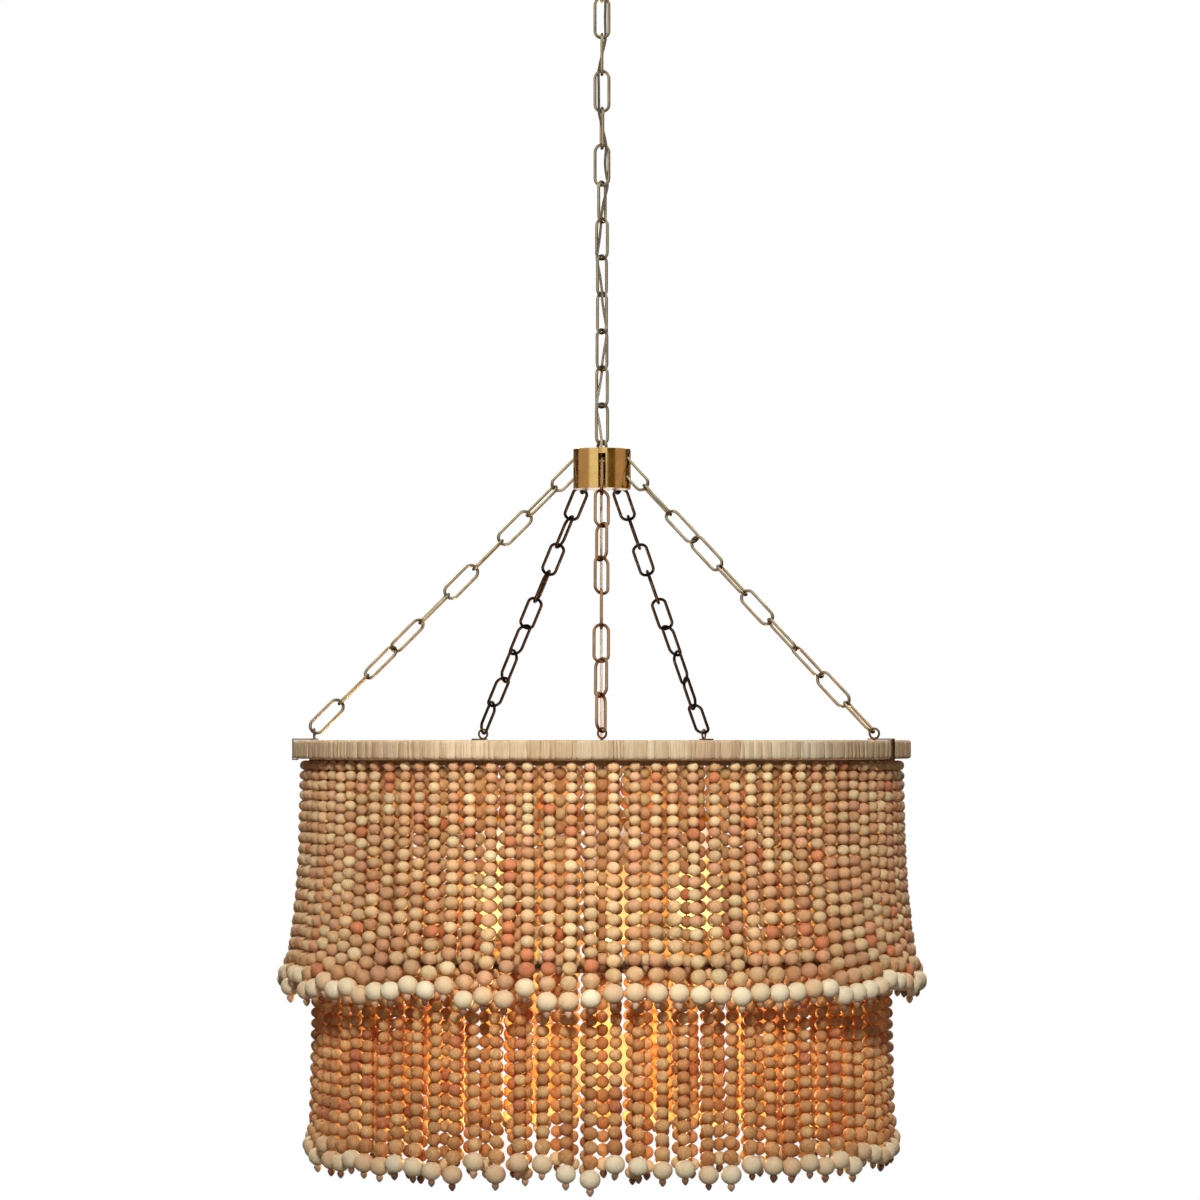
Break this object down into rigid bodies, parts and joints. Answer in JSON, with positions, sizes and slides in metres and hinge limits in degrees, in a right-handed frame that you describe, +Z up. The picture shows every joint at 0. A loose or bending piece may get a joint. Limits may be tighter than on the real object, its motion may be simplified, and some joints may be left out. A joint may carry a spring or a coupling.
{
  "type": "beaded chandelier",
  "caption": "Two-tier drum chandelier of turned wooden bead strands on a wrapped hoop, hung by slanting chains from a brass hub on a long link chain with a ceiling canopy.",
  "frame": {"origin": "centre of the ceiling nipple's top face, in the plane of the ceiling", "axes": "+Z up, +X to the right and -Y towards the viewer; the lamp hangs down along -Z"},
  "size_m": [0.6474, 0.6474, 1.2183],
  "materials": {
    "steel": "zinc plated",
    "brass": "brushed and lacquered",
    "pale_gold": "pale antique plating",
    "antique_gold": "antique plating",
    "bronze": "dark bronze",
    "fibre": "flat strips of pale natural fibre",
    "frame_paint": "dark satin paint",
    "cord": "woven cover",
    "socket": "matt",
    "bulb": "frosted, warm white",
    "bead_upper": "matt turned wood, pale tan",
    "bead_lower": "matt turned wood, warm brown"
  },
  "bodies": {
    "ceiling": {"ceiling_strap": "steel", "canopy_loop": "brass", "supply_cord": "cord"},
    "canopy": {"ceiling_canopy": "brass", "canopy_ring_nut": "brass"},
    "link_01": {"main_link_01": "pale_gold"},
    "link_02": {"main_link_02": "pale_gold"},
    "link_03": {"main_link_03": "pale_gold"},
    "link_04": {"main_link_04": "pale_gold"},
    "link_05": {"main_link_05": "pale_gold"},
    "link_06": {"main_link_06": "pale_gold"},
    "link_07": {"main_link_07": "pale_gold"},
    "link_08": {"main_link_08": "pale_gold"},
    "link_09": {"main_link_09": "pale_gold"},
    "link_10": {"main_link_10": "pale_gold"},
    "link_11": {"main_link_11": "pale_gold"},
    "link_12": {"main_link_12": "pale_gold"},
    "fixture": {"hub_loop": "brass", "hub_top": "brass", "hub_shell": "brass", "chain_left": "pale_gold", "chain_right": "pale_gold", "chain_back_left": "bronze", "chain_back_right": "bronze", "chain_front": "antique_gold", "hanger_left": "antique_gold", "hanger_right": "antique_gold", "hanger_back_left": "antique_gold", "hanger_back_right": "antique_gold", "hanger_front": "antique_gold", "hoop_wrap": "fibre", "frame_rim": "frame_paint", "frame_spokes": "frame_paint", "frame_lower_ring": "frame_paint", "lamp_frame": "brass", "socket_1": "socket", "socket_2": "socket", "socket_3": "socket", "socket_4": "socket", "lamp_cord": "cord"},
    "lamp_1": {"bulb_1": "bulb"},
    "lamp_2": {"bulb_2": "bulb"},
    "lamp_3": {"bulb_3": "bulb"},
    "lamp_4": {"bulb_4": "bulb"},
    "upper_front": {"upper_fringe_front": "bead_upper"},
    "upper_front_right": {"upper_fringe_front_right": "bead_upper"},
    "upper_right": {"upper_fringe_right": "bead_upper"},
    "upper_back_right": {"upper_fringe_back_right": "bead_upper"},
    "upper_back": {"upper_fringe_back": "bead_upper"},
    "upper_back_left": {"upper_fringe_back_left": "bead_upper"},
    "upper_left": {"upper_fringe_left": "bead_upper"},
    "upper_front_left": {"upper_fringe_front_left": "bead_upper"},
    "lower_front": {"lower_fringe_front": "bead_lower"},
    "lower_front_right": {"lower_fringe_front_right": "bead_lower"},
    "lower_right": {"lower_fringe_right": "bead_lower"},
    "lower_back_right": {"lower_fringe_back_right": "bead_lower"},
    "lower_back": {"lower_fringe_back": "bead_lower"},
    "lower_back_left": {"lower_fringe_back_left": "bead_lower"},
    "lower_left": {"lower_fringe_left": "bead_lower"},
    "lower_front_left": {"lower_fringe_front_left": "bead_lower"}
  },
  "joints": [
    {"name": "canopy_drop", "type": "slide", "parent": "ceiling", "child": "canopy", "axis": [0, 0, -1], "range_m": [0, 0.06]},
    {"name": "chain_swing_01", "type": "hinge", "parent": "ceiling", "child": "link_01", "pos_m": [0, 0, -0.064], "axis": [0, -1, 0], "range_deg": [-5, 5], "deforming": ["supply_cord"]},
    {"name": "chain_swing_02", "type": "hinge", "parent": "link_01", "child": "link_02", "pos_m": [0, 0, -0.101], "axis": [1, 0, 0], "range_deg": [-5, 5], "deforming": ["supply_cord"]},
    {"name": "chain_swing_03", "type": "hinge", "parent": "link_02", "child": "link_03", "pos_m": [0, 0, -0.1382], "axis": [0, 1, 0], "range_deg": [-5, 5], "deforming": ["supply_cord"]},
    {"name": "chain_swing_04", "type": "hinge", "parent": "link_03", "child": "link_04", "pos_m": [0, 0, -0.1754], "axis": [-1, 0, 0], "range_deg": [-5, 5], "deforming": ["supply_cord"]},
    {"name": "chain_swing_05", "type": "hinge", "parent": "link_04", "child": "link_05", "pos_m": [0, 0, -0.2126], "axis": [0.1219, -0.9925, 0], "range_deg": [-5, 5], "deforming": ["supply_cord"]},
    {"name": "chain_swing_06", "type": "hinge", "parent": "link_05", "child": "link_06", "pos_m": [0, 0, -0.2498], "axis": [0.9903, -0.1392, 0], "range_deg": [-5, 5], "deforming": ["supply_cord"]},
    {"name": "chain_swing_07", "type": "hinge", "parent": "link_06", "child": "link_07", "pos_m": [0, 0, -0.287], "axis": [0.4695, 0.8829, 0], "range_deg": [-5, 5], "deforming": ["supply_cord"]},
    {"name": "chain_swing_08", "type": "hinge", "parent": "link_07", "child": "link_08", "pos_m": [0, 0, -0.3242], "axis": [-0.766, 0.6428, 0], "range_deg": [-5, 5], "deforming": ["supply_cord"]},
    {"name": "chain_swing_09", "type": "hinge", "parent": "link_08", "child": "link_09", "pos_m": [0, 0, -0.3614], "axis": [-0.6428, -0.766, 0], "range_deg": [-5, 5], "deforming": ["supply_cord"]},
    {"name": "chain_swing_10", "type": "hinge", "parent": "link_09", "child": "link_10", "pos_m": [0, 0, -0.3986], "axis": [0.6428, -0.766, 0], "range_deg": [-5, 5], "deforming": ["supply_cord"]},
    {"name": "chain_swing_11", "type": "hinge", "parent": "link_10", "child": "link_11", "pos_m": [0, 0, -0.4358], "axis": [0.7071, 0.7071, 0], "range_deg": [-5, 5], "deforming": ["supply_cord"]},
    {"name": "chain_swing_12", "type": "hinge", "parent": "link_11", "child": "link_12", "pos_m": [0, 0, -0.473], "axis": [-0.7547, 0.6561, 0], "range_deg": [-5, 5], "deforming": ["supply_cord"]},
    {"name": "chain_swing_13", "type": "hinge", "parent": "link_12", "child": "fixture", "pos_m": [0, 0, -0.5102], "axis": [-0.7986, -0.6018, 0], "range_deg": [-5, 5], "deforming": ["supply_cord"]},
    {"name": "lamp_1_unscrew", "type": "slide", "parent": "fixture", "child": "lamp_1", "axis": [0, 0, -1], "range_m": [0, 0.025]},
    {"name": "lamp_2_unscrew", "type": "slide", "parent": "fixture", "child": "lamp_2", "axis": [0, 0, -1], "range_m": [0, 0.025]},
    {"name": "lamp_3_unscrew", "type": "slide", "parent": "fixture", "child": "lamp_3", "axis": [0, 0, -1], "range_m": [0, 0.025]},
    {"name": "lamp_4_unscrew", "type": "slide", "parent": "fixture", "child": "lamp_4", "axis": [0, 0, -1], "range_m": [0, 0.025]},
    {"name": "upper_front_swing", "type": "hinge", "parent": "fixture", "child": "upper_front", "pos_m": [0, -0.2947, -0.8251], "axis": [-1, 0, 0], "range_deg": [0, 20]},
    {"name": "upper_front_right_swing", "type": "hinge", "parent": "fixture", "child": "upper_front_right", "pos_m": [0.20838, -0.20838, -0.8251], "axis": [-0.7071, -0.7071, 0], "range_deg": [0, 20]},
    {"name": "upper_right_swing", "type": "hinge", "parent": "fixture", "child": "upper_right", "pos_m": [0.2947, 0, -0.8251], "axis": [0, -1, 0], "range_deg": [0, 20]},
    {"name": "upper_back_right_swing", "type": "hinge", "parent": "fixture", "child": "upper_back_right", "pos_m": [0.20838, 0.20838, -0.8251], "axis": [0.7071, -0.7071, 0], "range_deg": [0, 20]},
    {"name": "upper_back_swing", "type": "hinge", "parent": "fixture", "child": "upper_back", "pos_m": [0, 0.2947, -0.8251], "axis": [1, 0, 0], "range_deg": [0, 20]},
    {"name": "upper_back_left_swing", "type": "hinge", "parent": "fixture", "child": "upper_back_left", "pos_m": [-0.20838, 0.20838, -0.8251], "axis": [0.7071, 0.7071, 0], "range_deg": [0, 20]},
    {"name": "upper_left_swing", "type": "hinge", "parent": "fixture", "child": "upper_left", "pos_m": [-0.2947, 0, -0.8251], "axis": [0, 1, 0], "range_deg": [0, 20]},
    {"name": "upper_front_left_swing", "type": "hinge", "parent": "fixture", "child": "upper_front_left", "pos_m": [-0.20838, -0.20838, -0.8251], "axis": [-0.7071, 0.7071, 0], "range_deg": [0, 20]},
    {"name": "lower_front_swing", "type": "hinge", "parent": "fixture", "child": "lower_front", "pos_m": [0, -0.277, -1.0186], "axis": [-1, 0, 0], "range_deg": [0, 4]},
    {"name": "lower_front_right_swing", "type": "hinge", "parent": "fixture", "child": "lower_front_right", "pos_m": [0.19587, -0.19587, -1.0186], "axis": [-0.7071, -0.7071, 0], "range_deg": [0, 4]},
    {"name": "lower_right_swing", "type": "hinge", "parent": "fixture", "child": "lower_right", "pos_m": [0.277, 0, -1.0186], "axis": [0, -1, 0], "range_deg": [0, 4]},
    {"name": "lower_back_right_swing", "type": "hinge", "parent": "fixture", "child": "lower_back_right", "pos_m": [0.19587, 0.19587, -1.0186], "axis": [0.7071, -0.7071, 0], "range_deg": [0, 4]},
    {"name": "lower_back_swing", "type": "hinge", "parent": "fixture", "child": "lower_back", "pos_m": [0, 0.277, -1.0186], "axis": [1, 0, 0], "range_deg": [0, 4]},
    {"name": "lower_back_left_swing", "type": "hinge", "parent": "fixture", "child": "lower_back_left", "pos_m": [-0.19587, 0.19587, -1.0186], "axis": [0.7071, 0.7071, 0], "range_deg": [0, 4]},
    {"name": "lower_left_swing", "type": "hinge", "parent": "fixture", "child": "lower_left", "pos_m": [-0.277, 0, -1.0186], "axis": [0, 1, 0], "range_deg": [0, 4]},
    {"name": "lower_front_left_swing", "type": "hinge", "parent": "fixture", "child": "lower_front_left", "pos_m": [-0.19587, -0.19587, -1.0186], "axis": [-0.7071, 0.7071, 0], "range_deg": [0, 4]}
  ]
}
